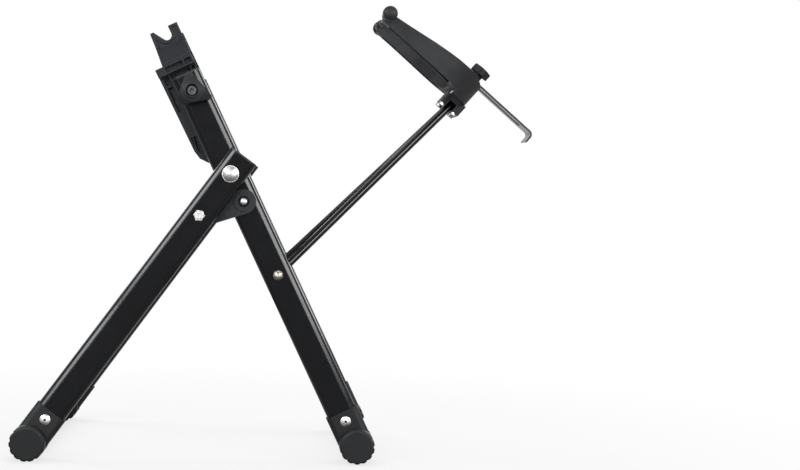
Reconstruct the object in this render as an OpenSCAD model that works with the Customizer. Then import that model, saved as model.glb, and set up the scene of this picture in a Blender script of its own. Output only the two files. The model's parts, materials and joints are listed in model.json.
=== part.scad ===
// Foldable bicycle wheel truing stand.
// X points from the rear feet to the caliper arm, Y across the stand and Z up.
// The origin lies on the floor, in the middle of the stand's outline.
// Left is the side at negative Y. A side piece is drawn with Y pointing outwards.

/* [Frame tubes] */
// Wide side of a frame tube
tube_w = 31; // [26:0.5:34]
// Narrow side of a frame tube
tube_t = 14; // [12:0.5:15]
// Wall of a frame tube
tube_wall = 1.5; // [1:0.1:2.5]
// Clear distance between the two uprights
frame_inner = 163; // [158:1:180]
// Gap between an upright and its rear leg, filled by the pivot bush
leg_gap = 9.5; // [8.5:0.25:12]
// Lean of the uprights from the vertical, in degrees
upright_lean = 26.5; // [24:0.5:30]
// Lean of the rear legs from the vertical, in degrees
leg_lean = 35.3; // [33:0.1:38]
// Main pivot to the top of an upright
upright_up = 112.5; // [111:0.5:118]
// Main pivot to the axis of the front feet
upright_down = 303.6; // [285:0.2:330]
// Main pivot to the top of a rear leg
leg_up = 22.4; // [21:0.2:30]
// Main pivot to the bend of a rear leg
leg_bend_at = 185; // [150:1:220]
// Outward bend of a rear leg, in degrees
leg_splay = 5.2; // [3:0.1:7]
// Radius of that bend
leg_bend_r = 400; // [300:10:500]
// Thickness of the cap on a tube end
cap_t = 2; // [1.5:0.1:3]
// Length of the cap's plug inside the tube
cap_plug = 7; // [4:0.5:8]

/* [Cross tubes and feet] */
// Outer diameter of the front and rear cross tubes
cross_d = 25.4; // [22:0.2:27]
// Wall of a cross tube
cross_wall = 1.5; // [1:0.1:2.5]
// Radius of a foot over its ribs
foot_r = 17.8; // [17.4:0.1:20]
// Length of a foot's barrel
foot_len = 36; // [34:1:42]
// Tube middle to the outer end of the foot
foot_over = 20; // [18:0.5:22]
// Closed wall at the outer end of the foot
foot_end_wall = 6; // [4:0.5:8]
// Height of the foot's sleeve above the barrel axis
sleeve_len = 37; // [34:0.5:42]
// Sleeve wall over the wide faces of the tube
sleeve_wall_t = 2.75; // [2:0.25:3.5]
// Sleeve wall over the narrow faces of the tube
sleeve_wall_w = 1.5; // [1.25:0.25:2.5]
// Barrel axis to the end of the tube in the sleeve
tube_seat = 15; // [14:0.25:17]
// Number of grip ribs that a full turn of the foot would have
rib_count = 14; // [12:1:18]
// Depth of the grooves between the ribs
rib_depth = 1.3; // [0.8:0.1:1.6]
// Barrel axis to the foot's rivet
rivet_up = 27; // [24:0.5:30]

/* [Pivots] */
// Main pivot bolt
pivot_d = 8; // [7:0.5:9]
// Flange of the main pivot bolt's head
pivot_head_d = 17; // [14:0.5:20]
// Bush around the main pivot bolt
bush_d = 13; // [11:0.5:16]
// Main pivot to the stop pin in the upright
stop_drop = 30.8; // [29:0.2:34]
// Head of the stop pin
stop_head_d = 8; // [7:0.5:9]
// Shank of the stop pin
stop_d = 5; // [4:0.5:6]
// Main pivot to the bolt that holds the hinge bracket
bracket_drop = 52; // [48:0.5:58]
// Radius of the hinge bracket's two ends
bracket_r = 12.5; // [11.5:0.5:14]
// Skin of the hinge bracket over its groove
bracket_skin = 2.6; // [2:0.2:3]
// Access hole over the stop pin
stop_window_d = 11; // [10:0.5:12]
// Hinge bracket bolt
bracket_bolt_d = 6; // [5:0.5:7]
// Main pivot to the caliper arm's bolt
arm_drop = 113.5; // [105:0.5:125]
// Caliper arm bolt
arm_bolt_d = 6; // [5:0.5:7]
// Clearance between parts that turn or slide on each other
run_gap = 0.08; // [0.05:0.01:0.1]

/* [Caliper arm] */
// Angle of the arm above the horizontal, in degrees
arm_angle = 45.4; // [40:0.2:50]
// Arm bolt to the middle of the caliper yoke
arm_len = 256.7; // [240:0.5:275]
// Diameter of an arm rod
rod_d = 8; // [7:0.25:9]
// Thickness of the eye of an arm rod
eye_t = 5; // [4:0.5:5.5]
// Outer diameter of that eye
eye_d = 15; // [14:0.5:17]
// Thickness of the spacer between an upright and the eye
arm_spacer_t = 2.5; // [2.25:0.25:4]
// Half the distance between the rods at the arm's end point
rod_half = 10; // [9.5:0.5:12]
// Tilt of the yoke on the arm, in degrees
yoke_tilt = 4; // [0:0.5:8]

/* [Caliper yoke] */
// Back face of the yoke's arms, in front of the arm's end point
yoke_back = 11.5; // [10.5:0.5:12]
// Front face of the yoke's base
yoke_front = 36.5; // [35:0.5:38]
// Radius of the yoke's outer corners
yoke_corner_r = 49.5; // [45:0.5:51]
// Half the outer width of the yoke
yoke_half = 63.7; // [62:0.1:68]
// Half the opening of the yoke at its foot
yoke_open = 42; // [38:0.5:43]
// Height of the yoke's bottom below the arm
yoke_low = 11; // [10:0.5:12]
// Height of the bottom of the yoke's opening
yoke_floor = 15.3; // [14:0.1:18]
// Wall of the yoke around its hollow back
yoke_wall = 2.6; // [2:0.2:3.4]
// Height of the pointers above the arm
pointer_up = 112.8; // [108:0.2:118]
// Distance of the pointers in front of the arm's end point
pointer_out = 19.8; // [19:0.2:20.4]
// Outer diameter of a pointer's sleeve
pointer_sleeve_d = 12.6; // [11:0.2:14]

/* [Pointers] */
// Diameter of a pointer rod
pointer_d = 4; // [3:0.25:5]
// Half the distance between the pointer tips
tip_gap_half = 9.5; // [5:0.5:20]
// Length of a pointer tip
tip_len = 10.5; // [9:0.5:13]
// Collar of a pointer tip
tip_d = 8.2; // [7.5:0.1:10]
// Pointer tip to the inner face of its knob
pointer_len = 59; // [56:0.5:64]
// Diameter of a pointer knob
pointer_knob_d = 15.5; // [13:0.5:18]
// Length of a pointer knob
pointer_knob_len = 14.6; // [12:0.2:17]
// Number of grip ridges around a pointer knob
pointer_ridges = 24; // [16:1:30]

/* [Gauge] */
// Depth of the channel for the gauge plate in the yoke's front
channel_depth = 2.6; // [1.5:0.1:3]
// Thickness of the gauge plate
gauge_t = 2; // [1.5:0.1:3]
// Width of the gauge plate's stem
gauge_stem_w = 31.4; // [28:0.2:34]
// Width of the gauge plate's head
gauge_head_w = 45.5; // [42:0.5:50]
// Top edge of the gauge plate above the arm
gauge_top = 54.4; // [50:0.2:58]
// Lower face of the gauge plate's fold, below the arm
gauge_low = 86.5; // [82:0.5:90]
// Length of the folded tail
gauge_tail = 12; // [11:0.5:16]
// Width of the slot
slot_w = 10.7; // [9:0.1:12]
// Top of the slot above the arm
slot_top = 23.7; // [18:0.1:26]
// Bottom of the slot below the arm
slot_low = 70.8; // [60:0.2:74]
// Gauge bolt
gauge_bolt_d = 6; // [5:0.5:7]
// Height of the gauge bolt above the arm
gauge_bolt_up = 0; // [-1:0.5:4]
// Diameter over the lobes of the gauge knob
gauge_knob_d = 22; // [18:0.5:26]
// Thickness of the gauge knob's head
gauge_knob_t = 8.2; // [7:0.2:10]

/* [Axle holders] */
// Thickness of the holder's plate and prongs
holder_t = 7.2; // [6:0.2:8]
// Gap between an upright and the holder's plate
holder_gap = 3.4; // [3:0.2:5]
// Step from the plate inwards to the prongs
holder_step = 17.6; // [15:0.2:19]
// Axle seat above the main pivot, along the upright
seat_up = 159.2; // [156:0.2:162]
// Radius of the axle seat
seat_r = 5; // [4.5:0.1:5.5]
// Top of the prongs above the main pivot
prong_top = 168; // [166:0.5:171]
// Bottom of the holder above the main pivot
holder_low = 20; // [18:0.5:26]
// Depth of the panels between the holder's ribs
panel_depth = 4; // [2:0.2:4.6]
// Holder screw above the main pivot
screw_up = 92; // [89:0.5:95]
// Holder's guide pin above the main pivot
guide_up = 61.6; // [56:0.2:66]
// Diameter of the holder screw
screw_d = 6; // [5:0.5:7]
// Diameter of the guide pin
guide_d = 8; // [7:0.5:9]
// Boss around the screw and the guide pin
boss_d = 12.4; // [12:0.2:14]
// Centre to a tip of the three-sided knob
knob_r = 20.5; // [18:0.5:22]
// Length of the knob's head
knob_len = 16; // [14:0.5:18]
// Diameter of the knob's hub
hub_d = 15.6; // [14:0.2:17]
// Length of the knob's hub
hub_len = 10.5; // [8:0.5:12]

/* [Hidden] */
$fn = 64;
fit = 0.1;
upright_y = frame_inner / 2 + tube_t / 2;
upright_in = frame_inner / 2;
upright_out = upright_in + tube_t;
leg_in = upright_out + leg_gap;
leg_y = leg_in + tube_t / 2;
leg_out = leg_in + tube_t;
pivot_z = upright_down * cos(upright_lean) + foot_r;
leg_down = (pivot_z - foot_r) / cos(leg_lean);
rear_foot_y = leg_y + (leg_down - leg_bend_at) * tan(leg_splay);
scissor = upright_lean + leg_lean;

// Where the arm's pieces sit along the arm
clamp_back = -5;
clamp_low = 13;
clamp_high = 12;
clamp_half = 22;
// How deep the recesses beside the rods are cut into the clamp block
clamp_slot = 2.5;
// How far the rods run past the arm's end point
rod_end = 6;
base_back = 7.6;
plate_p = yoke_front - channel_depth + 0.2;
eye_y = upright_in - arm_spacer_t - eye_t / 2;
eye_in = eye_y - eye_t / 2;

// Outline of the stand along X, from the rear feet to the gauge's fold
function upright_point(s, n) = [n * cos(upright_lean) - s * sin(upright_lean),
                                n * sin(upright_lean) + s * cos(upright_lean)];
function turned(p, a) = [p[0] * cos(a) - p[1] * sin(a), p[0] * sin(a) + p[1] * cos(a)];
arm_root = upright_point(-arm_drop, 0);
yoke_root = arm_root + turned([arm_len, 0], arm_angle);
fold_corner = yoke_root + turned([plate_p + gauge_t, -gauge_low + 3], arm_angle + yoke_tilt);
rear_end = -leg_down * sin(leg_lean) - foot_r;
pivot_x = -(fold_corner[0] + rear_end) / 2;

// Frames of reference

module at_pivot() {
    translate([pivot_x, 0, pivot_z]) children();
}

// Z runs up the upright, X across its wide face
module on_upright() {
    at_pivot() rotate([0, -upright_lean, 0]) children();
}

// Z runs up the rear leg, X across its wide face
module on_leg() {
    at_pivot() rotate([0, leg_lean, 0]) children();
}

// X runs along the arm, from its bolt
module on_arm() {
    on_upright() translate([0, 0, -arm_drop])
        rotate([0, upright_lean - arm_angle, 0]) children();
}

// X points out of the yoke's front, Z up its arms
module on_yoke() {
    on_arm() translate([arm_len, 0, 0]) rotate([0, -yoke_tilt, 0]) children();
}

module left() {
    mirror([0, 1, 0]) children();
}

module both() {
    children();
    mirror([0, 1, 0]) children();
}

// Basic shapes

// A cylinder along Y from y0 to y1
module rod_y(d, y0, y1) {
    translate([0, y0, 0]) rotate([-90, 0, 0]) cylinder(d = d, h = y1 - y0);
}

module hex_y(af, y0, y1) {
    translate([0, y0, 0]) rotate([-90, 30, 0]) cylinder(d = af / cos(30), h = y1 - y0, $fn = 6);
}

// A spherical cap of base diameter d and height h
module dome(d, h) {
    ball_r = (d * d / 4 + h * h) / (2 * h);
    rotate_extrude() intersection() {
        translate([0, h - ball_r]) circle(r = ball_r, $fn = 360);
        square([d / 2, h]);
    }
}

// The same cap along Y, from y0 to y1
module dome_y(d, y0, y1) {
    translate([0, y0, 0]) rotate([-90, 0, 0]) dome(d, y1 - y0);
}

module obround(w, t) {
    square([w - t, t], center = true);
    for (side = [-1, 1])
        translate([side * (w - t) / 2, 0]) circle(d = t);
}

module rounded(w, t, r) {
    square([w - 2 * r, t], center = true);
    square([w, t - 2 * r], center = true);
    for (i = [-1, 1], j = [-1, 1])
        translate([i * (w / 2 - r), j * (t / 2 - r)]) circle(r = r);
}

// Extrudes an outline drawn in X and Z, across Y
module across(y0, y1) {
    translate([0, y1, 0]) rotate([90, 0, 0]) linear_extrude(height = y1 - y0) children();
}

// Extrudes an outline drawn in Y and Z, along X
module along(x0, x1) {
    translate([x0, 0, 0]) rotate([90, 0, 90]) linear_extrude(height = x1 - x0) children();
}

// Frame

module upright() {
    difference() {
        translate([0, upright_y, tube_seat - upright_down])
            linear_extrude(height = upright_up - cap_t + upright_down - tube_seat)
                obround(tube_w, tube_t);
        translate([0, upright_y, -upright_down])
            linear_extrude(height = upright_down + upright_up + 1)
                obround(tube_w - 2 * tube_wall, tube_t - 2 * tube_wall);
        rod_y(pivot_d + 2 * fit, upright_in - 1, upright_out + 1);
        translate([0, 0, -stop_drop]) rod_y(stop_d + 2 * fit, upright_in - 1, upright_out + 1);
        translate([0, 0, -arm_drop]) rod_y(arm_bolt_d + 2 * fit, upright_in - 1, upright_out + 1);
        translate([0, 0, screw_up]) rod_y(screw_d + 2 * run_gap, upright_in - 1, upright_out + 1);
        translate([0, 0, guide_up]) rod_y(guide_d + 2 * run_gap, upright_in - 1, upright_y);
        translate([0, 0, rivet_up - upright_down]) rod_y(4 + 2 * fit, upright_y, upright_out + 1);
    }
}

// A plug with a lid, for the tube end at height z
module tube_cap(z) {
    translate([0, 0, z]) linear_extrude(height = cap_t) obround(tube_w, tube_t);
    translate([0, 0, z - cap_plug]) linear_extrude(height = cap_plug)
        difference() {
            obround(tube_w - 2 * tube_wall - 2 * fit, tube_t - 2 * tube_wall - 2 * fit);
            obround(tube_w - 2 * tube_wall - 4, tube_t - 2 * tube_wall - 4);
        }
}

// One cross section of the leg, w wide and t thick, tilted by a around X at y and z
leg_facets = 16;
function leg_ring(w, t, y, z, a) =
    [for (side = [1, -1], i = [0:leg_facets]) let (b = 180 * i / leg_facets - side * 90)
        [side * (w - t) / 2 + t / 2 * cos(b), y + t / 2 * sin(b) * cos(a),
         z + t / 2 * sin(b) * sin(a)]];

// The leg's solid outline: straight, bent outwards, and straight again
module leg_path(w, t, top, seat) {
    bend_start = leg_bend_at - leg_bend_r * tan(leg_splay / 2);
    bend_steps = 5;
    corners = 2 * (leg_facets + 1);
    rings = concat(
        [leg_ring(w, t, leg_y, top, 0)],
        [for (i = [0:bend_steps]) let (a = leg_splay * i / bend_steps)
            leg_ring(w, t, leg_y + leg_bend_r * (1 - cos(a)), -bend_start - leg_bend_r * sin(a), a)],
        [leg_ring(w, t, rear_foot_y - seat * sin(leg_splay), seat * cos(leg_splay) - leg_down,
                  leg_splay)]);
    polyhedron(
        points = [for (ring = rings) each ring],
        faces = concat(
            [[for (i = [corners - 1:-1:0]) i]],
            [for (k = [0:len(rings) - 2], i = [0:corners - 1])
                let (a = k * corners + i, b = k * corners + (i + 1) % corners)
                each [[a, b, b + corners], [a, b + corners, a + corners]]],
            [[for (i = [0:corners - 1]) (len(rings) - 1) * corners + i]]));
}

module rear_leg() {
    difference() {
        leg_path(tube_w, tube_t, leg_up - cap_t, tube_seat);
        leg_path(tube_w - 2 * tube_wall, tube_t - 2 * tube_wall, leg_up + 1, tube_seat - 1);
        rod_y(pivot_d + 2 * run_gap, leg_in - 1, leg_out + 1);
        translate([0, 0, -bracket_drop])
            rod_y(bracket_bolt_d + 2 * fit, leg_in - 1, leg_out + 1);
        on_rear_sleeve() translate([0, 0, rivet_up]) rod_y(4 + 2 * fit, 0, tube_t);
    }
}

// The rear foot's frame: Z runs up its sleeve, Y stays in the sleeve's wide face
module on_rear_sleeve() {
    translate([0, rear_foot_y, -leg_down]) rotate([leg_splay, 0, 0]) children();
}

module cross_tube(half) {
    difference() {
        rod_y(cross_d, -half, half);
        rod_y(cross_d - 2 * cross_wall, -half - 1, half + 1);
    }
}

// Foot

// The barrel, with its outer end rounded, its inner end eased and ribs under it
module foot_barrel() {
    round_r = 3;
    ease = 1.2;
    step = 360 / rib_count;
    cut_r = 2.6;
    difference() {
        rotate([-90, 0, 0]) translate([0, 0, foot_over - foot_len]) rotate_extrude() {
            translate([0, ease]) square([foot_r, foot_len - ease - round_r]);
            square([foot_r - ease, foot_len - round_r]);
            square([foot_r - round_r, foot_len]);
            translate([foot_r - round_r, foot_len - round_r]) circle(r = round_r);
        }
        for (i = [-3.5:1:3.5])
            rotate([0, i * step, 0]) translate([0, 0, -foot_r - cut_r + rib_depth])
                rod_y(2 * cut_r, foot_over - foot_len - 1, foot_over + 1);
    }
}

module sleeve_outline() {
    rounded(tube_w + 2 * sleeve_wall_w, tube_t + 2 * sleeve_wall_t, 6);
}

// The sleeve leans by the angle lean inside the foot, for a leg that splays
module foot(lean) {
    difference() {
        union() {
            foot_barrel();
            rotate([lean, 0, 0]) linear_extrude(height = sleeve_len) sleeve_outline();
        }
        rod_y(cross_d + 2 * fit, foot_over - foot_len - 1, foot_over - foot_end_wall);
        rotate([lean, 0, 0]) translate([0, 0, tube_seat])
            linear_extrude(height = sleeve_len) obround(tube_w + 2 * fit, tube_t + 2 * fit);
        rotate([lean, 0, 0]) translate([0, 0, rivet_up]) rod_y(4 + 2 * fit, 0, tube_t + 5);
    }
}

module front_foot() {
    translate([0, upright_y, -upright_down]) foot(0);
}

module rear_foot() {
    translate([0, rear_foot_y, -leg_down]) foot(leg_splay);
}

// A blind rivet through a sleeve, with the hole left by its mandrel
module rivet() {
    seat = tube_t / 2 + sleeve_wall_t;
    translate([0, 0, rivet_up]) difference() {
        union() {
            dome_y(11, seat, seat + 1.6);
            rod_y(4, tube_t / 2 - tube_wall - 1, seat + 0.4);
        }
        rod_y(2.4, tube_t / 2 - tube_wall - 2, seat + 3);
    }
}

// Pivots

// The head seats on the leg, the shank runs through leg, bush and upright
module pivot_bolt() {
    rod_y(pivot_d, upright_in - 11, leg_out + 1.5);
    rod_y(pivot_head_d, leg_out + run_gap, leg_out + 1.5);
    dome_y(pivot_head_d - 1, leg_out + 1.5, leg_out + 4.6);
}

// Flanged cap nut against the inside of the upright
module pivot_nut() {
    difference() {
        union() {
            rod_y(15, upright_in - 1.6, upright_in);
            hex_y(11.5, upright_in - 7.5, upright_in);
            mirror([0, 1, 0]) dome_y(11, 7.5 - upright_in, 13 - upright_in);
        }
        rod_y(pivot_d + 2 * fit, upright_in - 11, upright_in + 1);
    }
}

module pivot_bush() {
    difference() {
        rod_y(bush_d, upright_out, leg_in - run_gap);
        rod_y(pivot_d + 2 * fit, upright_out - 1, leg_in + 1);
    }
}

// Its head runs in the hinge bracket's groove and stops the frame from opening too far
module stop_pin() {
    translate([0, 0, -stop_drop]) {
        rod_y(stop_d, upright_in - 5, upright_out + 1);
        rod_y(stop_head_d, upright_out, leg_in - bracket_skin - 1.4);
        dome_y(stop_head_d, leg_in - bracket_skin - 1.4, leg_in - bracket_skin - 0.4);
    }
}

module stop_pin_nut() {
    translate([0, 0, -stop_drop]) difference() {
        hex_y(8, upright_in - 4, upright_in);
        rod_y(stop_d, upright_in - 5, upright_in + 1);
    }
}

// The bracket's groove follows the stop pin while the frame folds, and runs out at its edge
module stop_groove() {
    groove_w = stop_head_d + 0.5;
    run_out = 16;
    reach = leg_in - bracket_skin;
    rotate([90, 0, 0]) translate([0, 0, -reach])
        rotate_extrude(angle = scissor + run_out, start = -90 - run_out)
            translate([stop_drop - groove_w / 2, 0]) square([groove_w, reach - upright_out]);
    translate([stop_drop * sin(scissor), 0, -stop_drop * cos(scissor)])
        rod_y(groove_w, upright_out, reach);
}

bracket_nut_af = 10;

module hinge_bracket() {
    inner = upright_out + 0.3;
    lobe = [stop_drop * sin(scissor), -stop_drop * cos(scissor)];
    far = [0, -bracket_drop];
    span = norm(far - lobe);
    slope = atan2(far[1] - lobe[1], far[0] - lobe[0]);
    difference() {
        union() {
            across(inner, leg_in) {
                translate(lobe) circle(r = bracket_r);
                translate(far) circle(r = bracket_r);
                translate((lobe + far) / 2) rotate(slope)
                    square([span, 2 * bracket_r], center = true);
            }
        }
        stop_groove();
        translate([lobe[0], 0, lobe[1]]) rod_y(stop_window_d, inner, leg_in + 1);
        translate([0, 0, -bracket_drop]) {
            rod_y(bracket_bolt_d + 2 * fit, inner - 1, leg_in + 1);
            hex_y(bracket_nut_af + 2 * fit, inner - 1, upright_out + 4.8);
        }
        // Shallow panel that leaves a rim around the lobe and along both edges
        across(leg_in - 0.8, leg_in + 1) difference() {
            translate((lobe + far) / 2) rotate(slope)
                square([span, 2 * bracket_r - 5], center = true);
            translate(lobe) circle(r = bracket_r - 2.5);
            translate(far) circle(r = bracket_r - 2.5);
        }
    }
}

module bracket_bolt() {
    translate([0, 0, -bracket_drop]) {
        rod_y(bracket_bolt_d, upright_out + 1.2, leg_out + 1);
        hex_y(bracket_nut_af, leg_out, leg_out + 4.2);
        rod_y(8.6, leg_out + 4, leg_out + 4.6);
    }
}

// Sunk in the back of the bracket
module bracket_nut() {
    translate([0, 0, -bracket_drop]) difference() {
        hex_y(bracket_nut_af, upright_out + 0.8, upright_out + 4.8);
        rod_y(bracket_bolt_d, upright_out, upright_out + 6);
    }
}

module arm_bolt() {
    translate([0, 0, -arm_drop]) {
        rod_y(arm_bolt_d, eye_in - 6.5, upright_out + 1);
        rod_y(10.5, upright_out, upright_out + 2.5);
        dome_y(10.5, upright_out + 2.5, upright_out + 6);
    }
}

module arm_nut() {
    translate([0, 0, -arm_drop]) difference() {
        hex_y(10, eye_in - 5.6, eye_in - run_gap);
        rod_y(arm_bolt_d, eye_in - 7, eye_in + 1);
    }
}

module arm_spacer() {
    translate([0, 0, -arm_drop]) difference() {
        rod_y(11.5, eye_y + eye_t / 2 + run_gap, upright_in);
        rod_y(arm_bolt_d + 2 * fit, eye_y, upright_in + 1);
    }
}

// Caliper arm

// The rods converge and end inside the clamp block
rod_slant = atan((eye_y - rod_half) / arm_len);

module arm_rod_axis(from) {
    translate([0, eye_y, 0]) rotate([0, 0, -rod_slant]) translate([from, 0, 0])
        rotate([0, 90, 0]) children();
}

module arm_rod() {
    // Where the round rod begins, and how far its flattened neck runs into it
    root = 8;
    neck_end = root + 3;
    difference() {
        union() {
            translate([0, eye_y, 0]) rod_y(eye_d, -eye_t / 2, eye_t / 2);
            translate([0, eye_in + 0.3, 0.5 - rod_d / 2]) cube([neck_end, eye_t - 0.6, rod_d - 1]);
            arm_rod_axis(root) cylinder(d = rod_d, h = (arm_len + rod_end) / cos(rod_slant) - root);
        }
        translate([0, eye_y, 0]) rod_y(arm_bolt_d + 2 * run_gap, -eye_t, eye_t);
    }
}

module rod_bores() {
    both() rotate([0, yoke_tilt, 0]) translate([-arm_len, 0, 0]) arm_rod_axis(arm_len / 2)
        cylinder(d = rod_d + 2 * fit,
                 h = (arm_len + rod_end + fit) / cos(rod_slant) - arm_len / 2);
}

clamp_screw_w = [8, -8.4];
clamp_screw_y = 16;

module clamp_screw_places() {
    for (w = clamp_screw_w, side = [-1, 1])
        translate([0, side * clamp_screw_y, w]) children();
}

// Ribbed block behind the yoke's base, drilled for the rods and open beside them
module clamp_block() {
    difference() {
        along(clamp_back, base_back) translate([0, (clamp_high - clamp_low) / 2])
            rounded(2 * clamp_half, clamp_high + clamp_low, 3);
        rod_bores();
        clamp_screw_places() translate([clamp_back - 1, 0, 0]) rotate([0, 90, 0])
            cylinder(d = 4 + 2 * fit, h = 20);
        both() translate([clamp_back - 1, rod_half, -rod_d / 2 - 0.6])
            cube([clamp_slot - clamp_back + 1, clamp_half, rod_d + 1.2]);
        both() for (w = [-8.8, -6.4, 6.4, 8.4])
            translate([clamp_back - 1, clamp_half - 0.8, w - 0.5]) cube([16, 2, 1]);
    }
}

module clamp_screws() {
    clamp_screw_places() {
        translate([clamp_back - 2.8, 0, 0]) rotate([0, 90, 0]) difference() {
            cylinder(d = 7.5, h = 2.8);
            translate([0, 0, -1]) cylinder(d = 3.5, h = 2.4, $fn = 6);
        }
        translate([clamp_back, 0, 0]) rotate([0, 90, 0])
            cylinder(d = 4, h = base_back - clamp_back + 9);
    }
}

// Front view of the yoke: a U with round corners and a slight waist
module yoke_outline(grow) {
    corner_y = yoke_half - yoke_corner_r;
    corner_z = yoke_corner_r - yoke_low;
    waist = 2.6;
    difference() {
        union() {
            for (side = [-1, 1])
                translate([side * corner_y, corner_z]) circle(r = yoke_corner_r - grow, $fn = 180);
            translate([-corner_y, grow - yoke_low]) square([2 * corner_y, corner_z]);
            for (side = [-1, 1])
                polygon([[0, corner_z], [side * (yoke_half - grow), corner_z],
                         [side * (yoke_half - waist - grow), corner_z + 38],
                         [side * (yoke_half - waist - grow), 92],
                         [side * (yoke_half - 1.2 - grow), pointer_up - 7],
                         [side * (yoke_half - 1.2 - grow), pointer_up], [0, pointer_up]]);
        }
        yoke_opening(grow);
    }
}

module yoke_opening(grow) {
    corner_r = 21.7;
    floor_z = yoke_floor - grow;
    for (side = [-1, 1]) {
        translate([side * (yoke_open - corner_r), yoke_floor + corner_r]) circle(r = corner_r + grow);
        polygon([[0, yoke_floor + corner_r], [side * (yoke_open + grow), yoke_floor + corner_r],
                 [side * (yoke_open + 2.6 + grow), pointer_up + 20], [0, pointer_up + 20]]);
    }
    translate([corner_r - yoke_open, floor_z])
        square([2 * (yoke_open - corner_r), corner_r + grow]);
}

// Side view of the yoke: a flat back, a bellied front and a chamfered underside
module yoke_side(grow) {
    polygon([[yoke_back, 9], [yoke_back, pointer_up], [yoke_front - 13.4 - grow, pointer_up],
             [yoke_front - 12.8 - grow, pointer_up - 8], [yoke_front - 8.7 - grow, 80],
             [yoke_front - 5.1 - grow, 58], [yoke_front - 3.1 - grow, 42],
             [yoke_front - 1.5 - grow, 27], [yoke_front - 0.3 - grow, 12],
             [yoke_front - grow, 1], [yoke_front - 3.6 - grow, -yoke_low],
             [base_back, -yoke_low], [base_back, 9]]);
}

module yoke_solid() {
    intersection() {
        along(0, 60) yoke_outline(0);
        across(-80, 80) yoke_side(0);
    }
    both() translate([pointer_out, 0, pointer_up])
        rod_y(pointer_sleeve_d, yoke_open + 2.5, yoke_half - 1.2);
}

// Hollow of the arms, open at the back and crossed by stiffening ribs
module yoke_pockets() {
    pocket_low = 20;
    pocket_high = pointer_up - pointer_sleeve_d / 2 - 2.5;
    ribs = [44, 70];
    difference() {
        intersection() {
            along(0, 60) yoke_outline(yoke_wall);
            translate([-1, 0, 0]) across(-80, 80) yoke_side(yoke_wall - 1);
            translate([0, -80, pocket_low]) cube([60, 160, pocket_high - pocket_low]);
        }
        for (z = ribs) translate([yoke_back + 4, -80, z]) cube([60, 160, 2]);
        translate([0, -yoke_open + 8, 0]) cube([60, 2 * yoke_open - 16, 60]);
    }
}

module yoke() {
    difference() {
        yoke_solid();
        yoke_pockets();
        // Channel that guides the gauge plate
        translate([yoke_front - channel_depth, -gauge_stem_w / 2 - 0.5, -yoke_low - 1])
            cube([channel_depth + 1, gauge_stem_w + 1, 60]);
        both() translate([pointer_out, 0, pointer_up])
            rod_y(pointer_d + 2 * run_gap, yoke_open, yoke_half);
        translate([0, 0, gauge_bolt_up]) rotate([0, 90, 0])
            cylinder(d = gauge_bolt_d + 2 * fit, h = 60);
        translate([0, 0, gauge_bolt_up]) rotate([0, 90, 0])
            cylinder(d = 14, h = base_back + 5);
        clamp_screw_places() rotate([0, 90, 0]) cylinder(d = 4 + 2 * fit, h = base_back + 10);
    }
}

// Gauge

gauge_face = plate_p + gauge_t;
washer_t = 1.2;
knob_back = 45.2;

// The head sits in the yoke's base and the thread comes out of its front
module gauge_bolt() {
    translate([0, 0, gauge_bolt_up]) rotate([0, 90, 0]) {
        translate([0, 0, base_back + 1]) cylinder(d = 13, h = 4);
        translate([0, 0, base_back + 4]) cylinder(d = gauge_bolt_d, h = knob_back + 3 - base_back - 4);
    }
}

module gauge_outline() {
    stem = gauge_stem_w / 2;
    head = gauge_head_w / 2;
    difference() {
        polygon([[-stem, 6 - gauge_low], [stem, 6 - gauge_low], [stem, gauge_top - 23.7],
                 [head - 4, gauge_top - 11.6], [head - 2, gauge_top - 10.3],
                 [head, gauge_top], [-head, gauge_top], [2 - head, gauge_top - 10.3],
                 [4 - head, gauge_top - 11.6], [-stem, gauge_top - 23.7]]);
        translate([0, (slot_top - slot_low) / 2]) rotate(90) obround(slot_top + slot_low, slot_w);
    }
}

module gauge_plate() {
    bend_r = 6 - gauge_t;
    along(plate_p, plate_p + gauge_t) gauge_outline();
    translate([plate_p - bend_r, -gauge_stem_w / 2, 6 - gauge_low]) rotate([-90, 0, 0])
        rotate_extrude(angle = 90)
            translate([bend_r, 0]) square([gauge_t, gauge_stem_w]);
    translate([plate_p + gauge_t - gauge_tail, -gauge_stem_w / 2, -gauge_low])
        cube([gauge_tail - 6, gauge_stem_w, gauge_t]);
}

module gauge_washer() {
    translate([gauge_face + run_gap, 0, gauge_bolt_up]) rotate([0, 90, 0]) difference() {
        cylinder(d = 18, h = washer_t);
        translate([0, 0, -1]) cylinder(d = gauge_bolt_d + 2 * run_gap, h = washer_t + 2);
    }
}

// Five-lobed knob under a flat dome, on a round hub
module gauge_knob() {
    lobe_r = 4.4;
    lobes = 5;
    foot_p = gauge_face + 2 * run_gap + washer_t;
    translate([0, 0, gauge_bolt_up]) rotate([0, 90, 0]) difference() {
        union() {
            translate([0, 0, foot_p]) cylinder(d = 12, h = knob_back - foot_p + 1);
            translate([0, 0, knob_back]) intersection() {
                linear_extrude(height = gauge_knob_t) {
                    circle(d = gauge_knob_d - lobe_r);
                    for (i = [0:lobes - 1])
                        rotate(i * 360 / lobes) translate([gauge_knob_d / 2 - lobe_r, 0])
                            circle(r = lobe_r);
                }
                dome(gauge_knob_d + 36, gauge_knob_t);
            }
        }
        cylinder(d = gauge_bolt_d + 2 * run_gap, h = knob_back + 3.5);
    }
}

// Pointers

module at_pointer() {
    on_yoke() translate([pointer_out, 0, pointer_up]) children();
}

pointer_knob_y = tip_gap_half + pointer_len;

module pointer_rod() {
    rod_y(pointer_d, tip_gap_half + tip_len - 6, pointer_knob_y + pointer_knob_len - 3);
}

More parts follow.
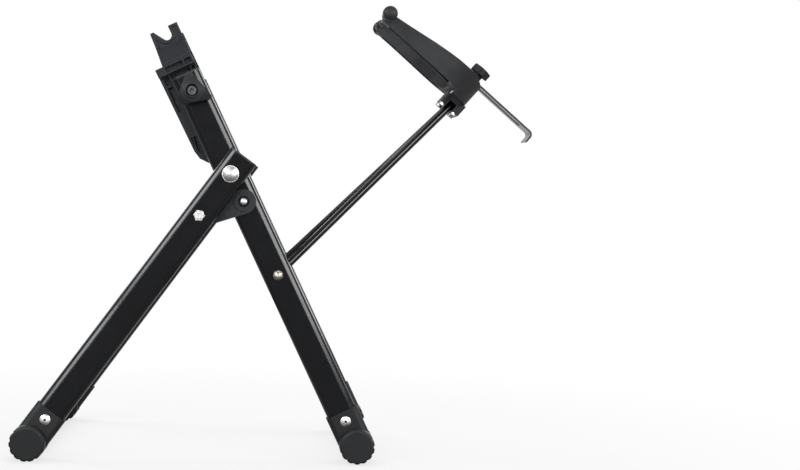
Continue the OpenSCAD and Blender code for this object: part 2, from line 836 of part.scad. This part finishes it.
// Ridged knob with a domed end
module pointer_knob() {
    r = pointer_knob_d / 2;
    difference() {
        translate([0, pointer_knob_y, 0]) rotate([-90, 0, 0]) {
            cylinder(d = pointer_knob_d - 4, h = 3);
            intersection() {
                union() {
                    translate([0, 0, 2]) cylinder(r = r - 0.5, h = pointer_knob_len);
                    for (i = [0:pointer_ridges - 1])
                        rotate([0, 0, i * 360 / pointer_ridges]) translate([r - 1, -0.45, 2.6])
                            cube([1, 0.9, pointer_knob_len]);
                }
                dome(pointer_knob_d + 5, pointer_knob_len);
            }
        }
        rod_y(pointer_d + 2 * fit, pointer_knob_y - 1, pointer_knob_y + pointer_knob_len - 3);
    }
}

// Black tip: a collar, a cone and a blunt nose
module pointer_tip() {
    difference() {
        union() {
            rod_y(tip_d, tip_gap_half + tip_len * 0.62, tip_gap_half + tip_len);
            translate([0, tip_gap_half + tip_len * 0.3, 0]) rotate([-90, 0, 0])
                cylinder(d1 = 4.6, d2 = tip_d, h = tip_len * 0.32);
            rod_y(5.3, tip_gap_half, tip_gap_half + tip_len * 0.36);
        }
        rod_y(pointer_d + 2 * run_gap, tip_gap_half + tip_len - 6 - 0.1, tip_gap_half + tip_len + 1);
    }
}

// Axle holders

plate_out = upright_in - holder_gap;
plate_in = plate_out - holder_t;
tip_out = plate_in - holder_step + holder_t;
tab_out = plate_out + 8.3;
holder_left_n = -26.5;
holder_right_n = 14;
neck_n = -17.4;
shoulder_up = 128.6;
tab_low = 119.6;

// Side view: a wide plate, a narrower neck and a fork
module holder_outline() {
    seat_n = -1.1;
    difference() {
        polygon([[holder_right_n, holder_low + 8], [holder_right_n, prong_top],
                 [neck_n + 1, prong_top], [neck_n - 1, shoulder_up],
                 [holder_left_n, shoulder_up], [holder_left_n + 1.5, holder_low + 17],
                 [holder_left_n + 3.5, holder_low + 8], [holder_left_n + 10, holder_low],
                 [holder_right_n - 6, holder_low]]);
        translate([seat_n, seat_up]) circle(r = seat_r);
        polygon([[seat_n + seat_r, seat_up], [seat_n + seat_r, prong_top + 1],
                 [seat_n - seat_r - 6.5, prong_top + 1], [seat_n - seat_r - 6, prong_top - 1],
                 [seat_n - seat_r * cos(30), seat_up - seat_r * sin(30)]]);
    }
}

// Front view: the plate, a gusset and the prongs stepped inwards
module holder_profile() {
    tip_in = tip_out - holder_t;
    union() {
        polygon([[plate_out, holder_low + 7], [plate_out, 131.5], [tip_out, 151.8],
                 [tip_out, prong_top - 2], [tip_out - 2, prong_top], [tip_in + 1, prong_top],
                 [tip_in, prong_top - 1], [tip_in, 145.5], [tip_in + 8.5, 138.5],
                 [tip_in + 9.4, 134.5], [tip_in + 11.2, 129], [tip_in + 14.2, 122.5],
                 [plate_in, 117], [plate_in, holder_low + 7],
                 [plate_in + 2.4, holder_low], [plate_out, holder_low]]);
        translate([plate_out - 1, tab_low]) square([tab_out - plate_out + 1, shoulder_up - tab_low]);
    }
}

// Panels sunk into the outer face between the holder's ribs
module holder_panels() {
    rim = 2.4;
    left_n = holder_left_n + 1.5 + rim;
    right_n = holder_right_n - rim;
    across(plate_out - panel_depth, plate_out + 1) difference() {
        polygon([[left_n, holder_low + 18], [left_n, tab_low - 1.5],
                 [right_n, tab_low - 1.5], [right_n, holder_low + 9],
                 [right_n - 4, holder_low + 4], [left_n + 10, holder_low + 4]]);
        for (s = [screw_up, guide_up]) translate([0, s]) circle(d = boss_d + 3);
        translate([neck_n, 0]) square([rim, shoulder_up]);
        translate([6.5, screw_up]) square([rim, shoulder_up]);
        translate([-50, 107]) square([100, rim]);
        translate([-50, 51]) square([100, 29]);
        translate([-23, 36]) rotate(-6) square([1.6, 16]);
    }
}

// Panels sunk into the tab's edge and into the fork's outer face
module fork_panels() {
    seat_n = -1.1;
    across(tab_out - 5, tab_out + 1) {
        translate([-16.6, tab_low + 1.9]) square([19, 5.4]);
        translate([4.6, tab_low + 1.9]) square([7.4, 5.4]);
    }
    across(tip_out - 1.3, plate_out) difference() {
        polygon([[-13.8, 148], [11.2, 148], [11.2, 165], [6.6, 165], [6.6, 154], [-4, 151],
                 [-9.4, 154.6], [-13.4, 160.6]]);
        translate([seat_n, seat_up]) circle(r = seat_r + 2.4);
    }
}

module axle_holder() {
    difference() {
        union() {
            intersection() {
                across(0, upright_out) holder_outline();
                along(-40, 40) holder_profile();
            }
            for (s = [screw_up, guide_up])
                translate([0, 0, s]) rod_y(boss_d, plate_in, upright_in - run_gap);
        }
        holder_panels();
        fork_panels();
        translate([0, 0, screw_up]) rod_y(10, plate_in - 1, plate_out + 1);
        translate([0, 0, screw_up]) rod_y(screw_d + 2 * run_gap, plate_in, upright_in + 1);
        translate([0, 0, guide_up]) rod_y(guide_d, plate_in + 1.2, upright_in + 1);
    }
}

// Threaded insert for the screw, and the guide pin below it
module holder_inserts() {
    translate([0, 0, screw_up]) difference() {
        rod_y(10, plate_in, plate_out);
        rod_y(screw_d + 2 * run_gap, plate_in - 1, plate_out + 1);
    }
    translate([0, 0, guide_up]) rod_y(guide_d, plate_in + 1.2, upright_out - tube_wall - 3);
}

knob_face = upright_out + run_gap;
knob_seat = knob_face + hub_len;

// Three-sided knob: a rounded triangle under a dome, a raised ring and a hub
module holder_knob(turn) {
    corner_r = 2.9;
    ring_d = 21.6;
    reach = knob_r - corner_r;
    translate([0, 0, screw_up]) difference() {
        union() {
            rod_y(hub_d, knob_face, knob_seat + 1);
            intersection() {
                across(knob_seat, knob_seat + knob_len) rotate(turn) {
                    polygon([for (i = [0:2], side = [-60, 60])
                        reach * [cos(120 * i), sin(120 * i)]
                        + corner_r * [cos(120 * i + side), sin(120 * i + side)]]);
                    for (i = [0:2]) rotate(120 * i) translate([reach, 0]) circle(r = corner_r);
                }
                dome_y(2 * knob_r + 1, knob_seat - 0.2, knob_seat + knob_len);
            }
            rod_y(ring_d, knob_seat, knob_seat + knob_len - 2.4);
        }
        rod_y(screw_d + 2 * fit, knob_face - 1, knob_seat + knob_len + 1);
        rod_y(ring_d - 9, knob_seat + knob_len - 7, knob_seat + knob_len + 1);
    }
}

module holder_screw() {
    head = knob_seat + knob_len - 7;
    translate([0, 0, screw_up]) difference() {
        union() {
            rod_y(screw_d, plate_in - 1.2, head);
            rod_y(9, head, head + 3);
        }
        hex_y(4, head + 0.8, head + 4);
    }
}

turn_left = 76;
turn_right = 60;

black = [0.09, 0.09, 0.1];
plastic = [0.17, 0.17, 0.18];
steel = [0.8, 0.8, 0.82];

color(black) left() on_upright() upright();  // upright_left
color(black) on_upright() upright();  // upright_right
color(plastic) both() on_upright()  // upright_caps
    translate([0, upright_y, 0]) tube_cap(upright_up - cap_t);
color(black) on_upright()  // front_cross_tube
    translate([0, 0, -upright_down]) cross_tube(upright_y + foot_over - foot_end_wall);
color(plastic) left() on_upright() front_foot();  // front_foot_left
color(plastic) on_upright() front_foot();  // front_foot_right
color(steel) both() on_upright()  // front_foot_rivets
    translate([0, upright_y, -upright_down]) rivet();
color(steel) both() on_upright() pivot_bolt();  // pivot_bolts
color(steel) both() on_upright() pivot_nut();  // pivot_nuts
color(black) both() on_upright() pivot_bush();  // pivot_bushes
color(steel) both() on_upright() stop_pin();  // stop_pins
color(steel) both() on_upright() stop_pin_nut();  // stop_pin_nuts
color(steel) both() on_upright() arm_bolt();  // arm_bolts
color(steel) both() on_upright() arm_nut();  // arm_nuts
color(black) both() on_upright() arm_spacer();  // arm_spacers
color(black) left() on_leg() rear_leg();  // rear_leg_left
color(black) on_leg() rear_leg();  // rear_leg_right
color(plastic) both() on_leg()  // rear_leg_caps
    translate([0, leg_y, 0]) tube_cap(leg_up - cap_t);
color(black) on_leg()  // rear_cross_tube
    translate([0, 0, -leg_down]) cross_tube(rear_foot_y + foot_over - foot_end_wall);
color(plastic) left() on_leg() rear_foot();  // rear_foot_left
color(plastic) on_leg() rear_foot();  // rear_foot_right
color(steel) both() on_leg()  // rear_foot_rivets
    on_rear_sleeve() rivet();
color(plastic) left() on_leg() hinge_bracket();  // hinge_bracket_left
color(plastic) on_leg() hinge_bracket();  // hinge_bracket_right
color(steel) both() on_leg() bracket_bolt();  // bracket_bolts
color(steel) both() on_leg() bracket_nut();  // bracket_nuts
color(black) left() on_arm() arm_rod();  // arm_rod_left
color(black) on_arm() arm_rod();  // arm_rod_right
color(black) on_yoke() clamp_block();
color(steel) on_yoke() clamp_screws();
color(plastic) on_yoke() yoke();
color(steel) on_yoke() gauge_bolt();
color(black) on_yoke() gauge_plate();
color(plastic) on_yoke() gauge_knob();
color(steel) on_yoke() gauge_washer();
color(steel) left() at_pointer() pointer_rod();  // pointer_rod_left
color(steel) at_pointer() pointer_rod();  // pointer_rod_right
color(plastic) left() at_pointer() pointer_knob();  // pointer_knob_left
color(plastic) at_pointer() pointer_knob();  // pointer_knob_right
color(black) left() at_pointer() pointer_tip();  // pointer_tip_left
color(black) at_pointer() pointer_tip();  // pointer_tip_right
color(plastic) left() on_upright() axle_holder();  // axle_holder_left
color(plastic) on_upright() axle_holder();  // axle_holder_right
color(steel) left() on_upright()  // holder_inserts_left
    holder_inserts();
color(steel) on_upright() holder_inserts();  // holder_inserts_right
color(plastic) left() on_upright()  // holder_knob_left
    holder_knob(turn_left);
color(plastic) on_upright()  // holder_knob_right
    holder_knob(turn_right);
color(steel) left() on_upright() holder_screw();  // holder_screw_left
color(steel) on_upright() holder_screw();  // holder_screw_right
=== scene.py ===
import json
import math

import bmesh
import bpy
from mathutils import Matrix, Vector


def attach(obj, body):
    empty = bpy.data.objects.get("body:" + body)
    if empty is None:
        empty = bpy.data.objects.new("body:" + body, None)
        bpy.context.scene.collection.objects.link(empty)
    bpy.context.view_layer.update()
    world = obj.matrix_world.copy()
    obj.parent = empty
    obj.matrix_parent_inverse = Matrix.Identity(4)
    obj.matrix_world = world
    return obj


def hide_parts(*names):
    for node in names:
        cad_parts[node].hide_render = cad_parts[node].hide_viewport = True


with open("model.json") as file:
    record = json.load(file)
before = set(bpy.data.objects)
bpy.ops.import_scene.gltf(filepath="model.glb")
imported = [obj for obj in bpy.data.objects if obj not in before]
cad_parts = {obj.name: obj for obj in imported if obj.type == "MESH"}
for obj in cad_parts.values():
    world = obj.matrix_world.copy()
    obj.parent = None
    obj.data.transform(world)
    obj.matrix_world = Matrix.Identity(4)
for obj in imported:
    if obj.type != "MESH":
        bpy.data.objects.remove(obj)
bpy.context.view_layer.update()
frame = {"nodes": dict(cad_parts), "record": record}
NODES = frame["nodes"]
MM = 0.001

# Frames of reference, the same as in the CAD source: angles in degrees, lengths in mm
PIVOT_AT = (-53.8, 0, 289.5)
UPRIGHT_LEAN = 26.5
ARM_ANGLE = 45.4
YOKE_TILT = 4
ARM_DROP = 113.5
ARM_LEN = 256.7


def point(x, y, z):
    """A point in metres from its millimetres."""
    return Vector((x * MM, y * MM, z * MM))


def shift(x, y, z):
    return Matrix.Translation(point(x, y, z))


def turn(angle, axis):
    return Matrix.Rotation(math.radians(angle), 4, axis)


PIVOT = shift(*PIVOT_AT)
UPRIGHT = PIVOT @ turn(-UPRIGHT_LEAN, "Y")
ARM = UPRIGHT @ shift(0, 0, -ARM_DROP) @ turn(UPRIGHT_LEAN - ARM_ANGLE, "Y")
YOKE = ARM @ shift(ARM_LEN, 0, 0) @ turn(-YOKE_TILT, "Y")
SIDES = {"right": Matrix.Identity(4), "left": Matrix.Scale(-1, 4, (0, 1, 0))}


# ---------------------------------------------------------------- camera

camera_data = bpy.data.cameras.new("camera")
camera_data.lens = 68.42
camera_data.sensor_width = 36
camera_data.shift_x = 0.1597
camera_data.shift_y = -0.0666
camera_data.clip_end = 100
camera = bpy.data.objects.new("camera", camera_data)
camera.matrix_world = (Matrix.Translation((-0.0119, -1.6391, 0.2828))
                       @ turn(90, "X") @ turn(1.68, "Z"))
bpy.context.scene.collection.objects.link(camera)
bpy.context.scene.camera = camera
bpy.context.scene.view_settings.view_transform = "Standard"


# ---------------------------------------------------------------- light

AIM_HEIGHT = 0.25
# The radiance of an area lamp is its watts over its area and over this
WATTS_TO_RADIANCE = 4


def softbox(name, toward, along, distance, width, height, radiance, diffuse=True, glossy=True):
    """An area lamp that shines on the stand from a direction, its width laid along another."""
    data = bpy.data.lights.new(name, "AREA")
    data.shape = "RECTANGLE"
    data.size = width
    data.size_y = height
    data.energy = radiance * WATTS_TO_RADIANCE * width * height
    z = Vector(toward).normalized()
    x = (Vector(along) - Vector(along).dot(z) * z).normalized()
    lamp = bpy.data.objects.new(name, data)
    lamp.matrix_world = (Matrix.Translation(Vector((0, 0, AIM_HEIGHT)) + z * distance)
                         @ Matrix((x, z.cross(x), z)).transposed().to_4x4())
    lamp.visible_diffuse = diffuse
    lamp.visible_glossy = glossy
    bpy.context.scene.collection.objects.link(lamp)


# Strips that draw the highlights along the tubes. Bright ones behind would whiten the rims
for name, toward, along, radiance in (
        ("strip_front_left", (-0.58, -0.71, 0.41), (-1, 1, 0.7), 20),
        ("strip_front_right", (0.63, -0.71, 0.32), (1, 1, 0.5), 20),
        ("strip_back_left", (-0.58, 0.71, 0.41), (-1, -1, 0.7), 3),
        ("strip_back_right", (0.63, 0.71, 0.32), (1, -1, 0.5), 3)):
    softbox(name, toward, along, distance=2.2, width=2.24, height=0.8, radiance=radiance,
            diffuse=False)
softbox("top_softbox", (0, 0.12, 1), (1, 0, 0), distance=2, width=2.2, height=0.7, radiance=3.4)
for name, toward in (("fill_left", (-0.7, -0.7, 0.6)), ("fill_right", (0.8, -0.6, 0.5)),
                     ("fill_back", (0.1, 1, 0.5))):
    softbox(name, toward, (toward[1], -toward[0], 0), distance=2.4, width=1.4, height=1.4,
            radiance=1.4, glossy=False)


def seen_directly(tree):
    """1 for camera, glossy and transmission rays, else 0."""
    path = tree.nodes.new("ShaderNodeLightPath")
    total = path.outputs["Is Camera Ray"]
    for ray in ("Is Glossy Ray", "Is Transmission Ray"):
        either = tree.nodes.new("ShaderNodeMath")
        either.operation = "ADD"
        either.use_clamp = True
        tree.links.new(total, either.inputs[0])
        tree.links.new(path.outputs[ray], either.inputs[1])
        total = either.outputs[0]
    return total


def glow(tree, kind, strength):
    """A white shader of light: a world's Background or a material's Emission."""
    node = tree.nodes.new(kind)
    node.inputs["Color"].default_value = (1, 1, 1, 1)
    node.inputs["Strength"].default_value = strength
    return node.outputs[0]


def mix_shaders(tree, factor, first, second):
    node = tree.nodes.new("ShaderNodeMixShader")
    for source, socket in zip((factor, first, second), node.inputs):
        tree.links.new(source, socket)
    return node.outputs[0]


def build_world():
    """A white background whose light on the stand is weaker than it looks."""
    world = bpy.data.worlds.new("world")
    bpy.context.scene.world = world
    world.use_nodes = True
    tree = world.node_tree
    tree.nodes.clear()
    mixed = mix_shaders(tree, seen_directly(tree),
                        glow(tree, "ShaderNodeBackground", 0.45),
                        glow(tree, "ShaderNodeBackground", 1))
    tree.links.new(mixed, tree.nodes.new("ShaderNodeOutputWorld").inputs[0])


build_world()


# ---------------------------------------------------------------- floor

FLOOR_RADIUS = 14
FLOOR_DROP = 0.0004     # keeps it clear of the soles
SHADOW_SHARE = 0.25     # of the floor's look near the stand, the rest is plain white
SHADOW_NEAR = 0.3       # metres from the middle, where the shadow starts to fade
SHADOW_FAR = 0.8        # and where it is gone


def build_floor():
    mesh = bpy.data.meshes.new("floor")
    bm = bmesh.new()
    bmesh.ops.create_circle(bm, cap_ends=True, radius=FLOOR_RADIUS, segments=96)
    bm.to_mesh(mesh)
    bm.free()
    floor = bpy.data.objects.new("floor", mesh)
    floor.location = (0, 0, -FLOOR_DROP)
    bpy.context.scene.collection.objects.link(floor)
    material = bpy.data.materials.new("floor")
    material.use_nodes = True
    tree = material.node_tree
    tree.nodes.clear()
    diffuse = tree.nodes.new("ShaderNodeBsdfDiffuse")
    diffuse.inputs["Color"].default_value = (0.8, 0.8, 0.8, 1)
    coords = tree.nodes.new("ShaderNodeTexCoord")
    length = tree.nodes.new("ShaderNodeVectorMath")
    length.operation = "LENGTH"
    tree.links.new(coords.outputs["Object"], length.inputs[0])
    near = tree.nodes.new("ShaderNodeMapRange")
    near.interpolation_type = "SMOOTHSTEP"
    near.inputs["From Min"].default_value = SHADOW_NEAR
    near.inputs["From Max"].default_value = SHADOW_FAR
    near.inputs["To Min"].default_value = SHADOW_SHARE
    near.inputs["To Max"].default_value = 0
    tree.links.new(length.outputs["Value"], near.inputs["Value"])
    pale = mix_shaders(tree, near.outputs["Result"], glow(tree, "ShaderNodeEmission", 1),
                       diffuse.outputs[0])
    mixed = mix_shaders(tree, seen_directly(tree), diffuse.outputs[0], pale)
    tree.links.new(mixed, tree.nodes.new("ShaderNodeOutputMaterial").inputs[0])
    mesh.materials.append(material)


build_floor()


# ---------------------------------------------------------------- materials

class Nodes:
    """Adds nodes to one material."""

    # The colour sockets of a Mix node
    MIX_A, MIX_B, MIX_RESULT = 6, 7, 2

    def __init__(self, name):
        self.material = bpy.data.materials.new(name)
        self.material.use_nodes = True
        self.tree = self.material.node_tree
        self.tree.nodes.clear()
        out = self.tree.nodes.new("ShaderNodeOutputMaterial")
        self.shader = self.tree.nodes.new("ShaderNodeBsdfPrincipled")
        self.link(self.shader.outputs[0], out.inputs["Surface"])
        self.coords = self.tree.nodes.new("ShaderNodeTexCoord").outputs["Object"]

    def link(self, a, b):
        self.tree.links.new(a, b)

    def set(self, name, value):
        self.shader.inputs[name].default_value = value

    def noise(self, scale, detail=3, rough=0.55):
        node = self.tree.nodes.new("ShaderNodeTexNoise")
        node.inputs["Scale"].default_value = scale
        node.inputs["Detail"].default_value = detail
        node.inputs["Roughness"].default_value = rough
        self.link(self.coords, node.inputs["Vector"])
        return node.outputs["Fac"]

    def upward(self):
        """-1 on faces that look down, 0 on upright ones and 1 on those that look up."""
        split = self.tree.nodes.new("ShaderNodeSeparateXYZ")
        self.link(self.tree.nodes.new("ShaderNodeNewGeometry").outputs["Normal"], split.inputs[0])
        return split.outputs["Z"]

    def spread(self, value, low, high, start=0.3, end=0.7):
        """Maps start..end of a texture to low..high."""
        node = self.tree.nodes.new("ShaderNodeMapRange")
        node.inputs["From Min"].default_value = start
        node.inputs["From Max"].default_value = end
        node.inputs["To Min"].default_value = low
        node.inputs["To Max"].default_value = high
        self.link(value, node.inputs["Value"])
        return node.outputs["Result"]

    def ramp(self, value, stops):
        """Turns a texture into colours, given as pairs of position and colour."""
        node = self.tree.nodes.new("ShaderNodeValToRGB")
        elements = node.color_ramp.elements
        while len(elements) < len(stops):
            elements.new(0.5)
        for element, (position, colour) in zip(elements, stops):
            element.position = position
            element.color = (*colour, 1)
        self.link(value, node.inputs["Fac"])
        return node.outputs["Color"]

    def colours(self, value, dark, light, start=0.3, end=0.7):
        return self.ramp(value, ((start, dark), (end, light)))

    def mix(self, factor, a, b):
        node = self.tree.nodes.new("ShaderNodeMix")
        node.data_type = "RGBA"
        self.link(factor, node.inputs["Factor"])
        for source, socket in ((a, node.inputs[self.MIX_A]), (b, node.inputs[self.MIX_B])):
            if isinstance(source, tuple):
                socket.default_value = (*source, 1)
            else:
                self.link(source, socket)
        return node.outputs[self.MIX_RESULT]

    def edges(self, radius):
        """The rounded normal, and 0..1 where an edge lies within the radius."""
        bevel = self.tree.nodes.new("ShaderNodeBevel")
        bevel.samples = 4
        bevel.inputs["Radius"].default_value = radius
        plain = self.tree.nodes.new("ShaderNodeNewGeometry")
        dot = self.tree.nodes.new("ShaderNodeVectorMath")
        dot.operation = "DOT_PRODUCT"
        self.link(bevel.outputs[0], dot.inputs[0])
        self.link(plain.outputs["Normal"], dot.inputs[1])
        return bevel.outputs[0], self.spread(dot.outputs["Value"], 1, 0, 0.8, 0.99)

    def bump(self, height, strength, distance, normal):
        node = self.tree.nodes.new("ShaderNodeBump")
        node.inputs["Strength"].default_value = strength
        node.inputs["Distance"].default_value = distance
        self.link(height, node.inputs["Height"])
        self.link(normal, node.inputs["Normal"])
        return node.outputs[0]


# How wide the shaders treat an edge, in metres
PLASTIC_EDGE = 0.0006
METAL_EDGE = 0.0004
SHEET_EDGE = 0.0003


def tinted(colour, factor):
    return tuple(c * factor for c in colour)


def paint(name, colour, roughness, level, edge=None):
    """Powder coat: an even gloss and, on a sheet, a faint grain and a painted highlight along its
    edges, edge wide.
    """
    n = Nodes(name)
    body = n.colours(n.noise(9, 4), tinted(colour, 0.8), tinted(colour, 1.25))
    if edge:
        rounded, rim = n.edges(edge)
        # painted highlight: along the sheet's edges the colour is mixed toward a tone sixteen
        # times paler
        body = n.mix(n.spread(rim, 0, 0.6, 0, 1), body, tinted(colour, 16))
        n.link(n.bump(n.noise(700, 2), 0.05, 0.0002, rounded), n.shader.inputs["Normal"])
    n.link(body, n.shader.inputs["Base Color"])
    n.link(n.spread(n.noise(60, 3), roughness * 0.85, roughness * 1.2),
           n.shader.inputs["Roughness"])
    n.set("Specular IOR Level", level)
    n.set("Specular Tint", (0.95, 0.97, 1, 1))
    return n.material


def moulded(name, colour, roughness, level, grain=1500, depth=0.12, edge_highlight_tone=1.9):
    """Moulded plastic: a fine eroded grain, soft changes of tone and a painted highlight along the
    edges.
    """
    n = Nodes(name)
    body = n.colours(n.noise(22, 5, 0.6), tinted(colour, 0.78), tinted(colour, 1.22))
    rounded, rim = n.edges(PLASTIC_EDGE)
    # painted highlight: along the edges the colour is mixed toward a paler tone
    n.link(n.mix(n.spread(rim, 0, 0.5, 0, 1), body, tinted(colour, edge_highlight_tone)),
           n.shader.inputs["Base Color"])
    n.link(n.spread(n.noise(90, 4), roughness * 0.9, min(1, roughness * 1.12)),
           n.shader.inputs["Roughness"])
    n.link(n.bump(n.noise(grain, 3, 0.6), depth, 0.0002, rounded), n.shader.inputs["Normal"])
    n.set("Specular IOR Level", level)
    n.set("Specular Tint", (0.93, 0.96, 1, 1))
    return n.material


def metal(name, colour, roughness):
    """Plated steel: a painted studio reflection in bands of tone by which way a face looks,
    darkest where it looks down, with fine dark marks and darker edges.
    """
    n = Nodes(name)
    # painted reflection: the steel's tone is set by how far its face looks up or down
    painted_reflection = n.ramp(n.spread(n.upward(), 0, 1, -1, 1),
                   ((0, tinted(colour, 0.2)), (0.3, tinted(colour, 0.5)),
                    (0.5, colour), (0.6, tinted(colour, 0.6)),
                    (0.75, colour), (1, tinted(colour, 0.9))))
    marked = n.mix(n.spread(n.noise(420, 4, 0.6), 0.75, 0, 0.36, 0.56), painted_reflection,
                   tinted(colour, 0.3))
    rounded, rim = n.edges(METAL_EDGE)
    n.link(n.mix(n.spread(rim, 0, 0.6, 0, 1), marked, tinted(colour, 0.15)),
           n.shader.inputs["Base Color"])
    n.link(n.spread(n.noise(900, 3), roughness * 0.7, roughness * 1.4),
           n.shader.inputs["Roughness"])
    n.link(n.bump(n.noise(1600, 2, 0.5), 0.12, 0.0001, rounded), n.shader.inputs["Normal"])
    n.set("Metallic", 1)
    return n.material


MATERIALS = {
    "frame_black": paint("frame_black", (0.003, 0.0031, 0.0038), 0.18, 0.15),
    "rod_black": paint("rod_black", (0.0035, 0.0035, 0.004), 0.2, 0.17),
    "gauge_black": paint("gauge_black", (0.005, 0.005, 0.0055), 0.22, 0.14, SHEET_EDGE),
    "cap_black": moulded("cap_black", (0.006, 0.006, 0.0065), 0.42, 0.2),
    "foot_plastic": moulded("foot_plastic", (0.0075, 0.0075, 0.0077), 0.58, 0.12, 1100, 0.2),
    "bracket_plastic": moulded("bracket_plastic", (0.0085, 0.0092, 0.0115), 0.5, 0.14),
    "yoke_plastic": moulded("yoke_plastic", (0.0175, 0.0175, 0.0188), 0.62, 0.12, 1300, 0.18),
    "holder_plastic": moulded("holder_plastic", (0.0058, 0.0064, 0.0092), 0.52, 0.11,
                              edge_highlight_tone=9),
    "knob_plastic": moulded("knob_plastic", (0.009, 0.009, 0.0097), 0.6, 0.13, edge_highlight_tone=5),
    "tip_plastic": moulded("tip_plastic", (0.005, 0.005, 0.005), 0.4, 0.22),
    "bright_steel": metal("bright_steel", (0.32, 0.32, 0.318), 0.38),
    "nickel": metal("nickel", (0.27, 0.245, 0.21), 0.38),
}

# Painted shade: the screws that sit down in the three-sided knobs get a much darker steel than the
# rest
SHADED_SCREW_STEEL = metal("shaded_screw_steel", (0.04, 0.04, 0.041), 0.4)

for row in frame["record"]["subparts"]:
    material = MATERIALS[row["material_slot"]]
    if row["node"].startswith("holder_screw"):
        material = SHADED_SCREW_STEEL
    for slot in NODES[row["node"]].material_slots:
        slot.material = material


# ---------------------------------------------------------------- pieces

def piece(name, bm, body, slot, material=None):
    """Makes bm an object that moves with a body, in the material of its slot or another."""
    mesh = bpy.data.meshes.new(name)
    bmesh.ops.recalc_face_normals(bm, faces=bm.faces)
    bm.to_mesh(mesh)
    bm.free()
    mesh.materials.append(material or MATERIALS[slot])
    obj = bpy.data.objects.new(name, mesh)
    bpy.context.scene.collection.objects.link(obj)
    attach(obj, body)
    return obj


def add_box(bm, place, low, high):
    corners = [bm.verts.new(place @ point(x, y, z))
               for x in (low[0], high[0]) for y in (low[1], high[1]) for z in (low[2], high[2])]
    for ring in ((0, 1, 3, 2), (4, 6, 7, 5), (0, 4, 5, 1), (2, 3, 7, 6), (0, 2, 6, 4),
                 (1, 5, 7, 3)):
        bm.faces.new([corners[i] for i in ring])


# Ruler on the head of the gauge plate: a mark each millimetre. All in mm, in the yoke's frame
PLATE_FACE = 36.1
GAUGE_TOP = 54.4
RULER_MARGIN = 0.35
RULER_END = 20
MARK_SINK = 0.03
MARK_RISE = 0.05
# Length and half width of the marks at 10 mm, at 5 mm and between, and half width of the end marks
LONG_MARK = (6.9, 0.22)
MIDDLE_MARK = (5.4, 0.17)
SHORT_MARK = (4, 0.13)
END_MARK_HALF = 0.32


def build_ruler():
    bm = bmesh.new()
    for i in range(-RULER_END, RULER_END + 1):
        length, half = LONG_MARK if i % 10 == 0 else MIDDLE_MARK if i % 5 == 0 else SHORT_MARK
        if abs(i) == RULER_END:
            half = END_MARK_HALF
        top = GAUGE_TOP - RULER_MARGIN
        add_box(bm, YOKE, (PLATE_FACE - MARK_SINK, i - half, top - length),
                (PLATE_FACE + MARK_RISE, i + half, top))
    n = Nodes("ruler_white")
    n.link(n.colours(n.noise(800, 4), (0.4, 0.4, 0.39), (0.62, 0.62, 0.61), 0.25, 0.5),
           n.shader.inputs["Base Color"])
    n.link(n.spread(n.noise(500), 0.45, 0.6), n.shader.inputs["Roughness"])
    piece("ruler_marks", bm, "gauge_plate", "gauge_black", material=n.material)


build_ruler()


# Threaded rods of the pointers, in mm: place in the yoke's frame, ends along Y, diameters, pitch
POINTER_OUT = 19.8
POINTER_UP = 112.8
ROD_START = 14
ROD_END = 80
ROD_MAJOR = 4
ROD_MINOR = 3.3
ROD_PITCH = 0.7
# Where the crest begins and ends, as a share of the pitch
CREST = (0.42, 0.58)
THREAD_SEGMENTS = 20
MERGE = 1e-7


def add_thread(bm, place, start, end, major, minor, pitch):
    """A screw thread along Y, squeezed flat at its open ends."""
    turns = int(math.ceil((end - start) / pitch)) + 2
    rows = []
    for k in range(turns * THREAD_SEGMENTS + 1):
        angle = 2 * math.pi * k / THREAD_SEGMENTS
        row = []
        for radius, along in ((minor / 2, 0), (major / 2, CREST[0]), (major / 2, CREST[1])):
            y = start - pitch + pitch * (k / THREAD_SEGMENTS + along)
            y = min(max(y, start), end)
            row.append(bm.verts.new(place @ point(radius * math.cos(angle), y,
                                                  radius * math.sin(angle))))
        rows.append(row)
    for k in range(len(rows) - 1):
        a, b = rows[k], rows[k + 1]
        for j in (0, 1):
            bm.faces.new((a[j], a[j + 1], b[j + 1], b[j]))
        if k + THREAD_SEGMENTS + 1 < len(rows):
            c, d = rows[k + THREAD_SEGMENTS], rows[k + THREAD_SEGMENTS + 1]
            bm.faces.new((a[2], c[0], d[0], b[2]))


def build_pointer_rod(side):
    bm = bmesh.new()
    place = SIDES[side] @ YOKE @ shift(POINTER_OUT, 0, POINTER_UP)
    add_thread(bm, place, ROD_START, ROD_END, ROD_MAJOR, ROD_MINOR, ROD_PITCH)
    bmesh.ops.remove_doubles(bm, verts=bm.verts, dist=MERGE)
    bmesh.ops.dissolve_degenerate(bm, dist=MERGE, edges=bm.edges)
    loose = [e for e in bm.edges if len(e.link_faces) == 1]
    bmesh.ops.holes_fill(bm, edges=loose, sides=0)
    rod = piece(f"pointer_thread_{side}", bm, f"pointer_{side}", "bright_steel")
    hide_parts(f"pointer_rod_{side}")


for side in SIDES:
    build_pointer_rod(side)
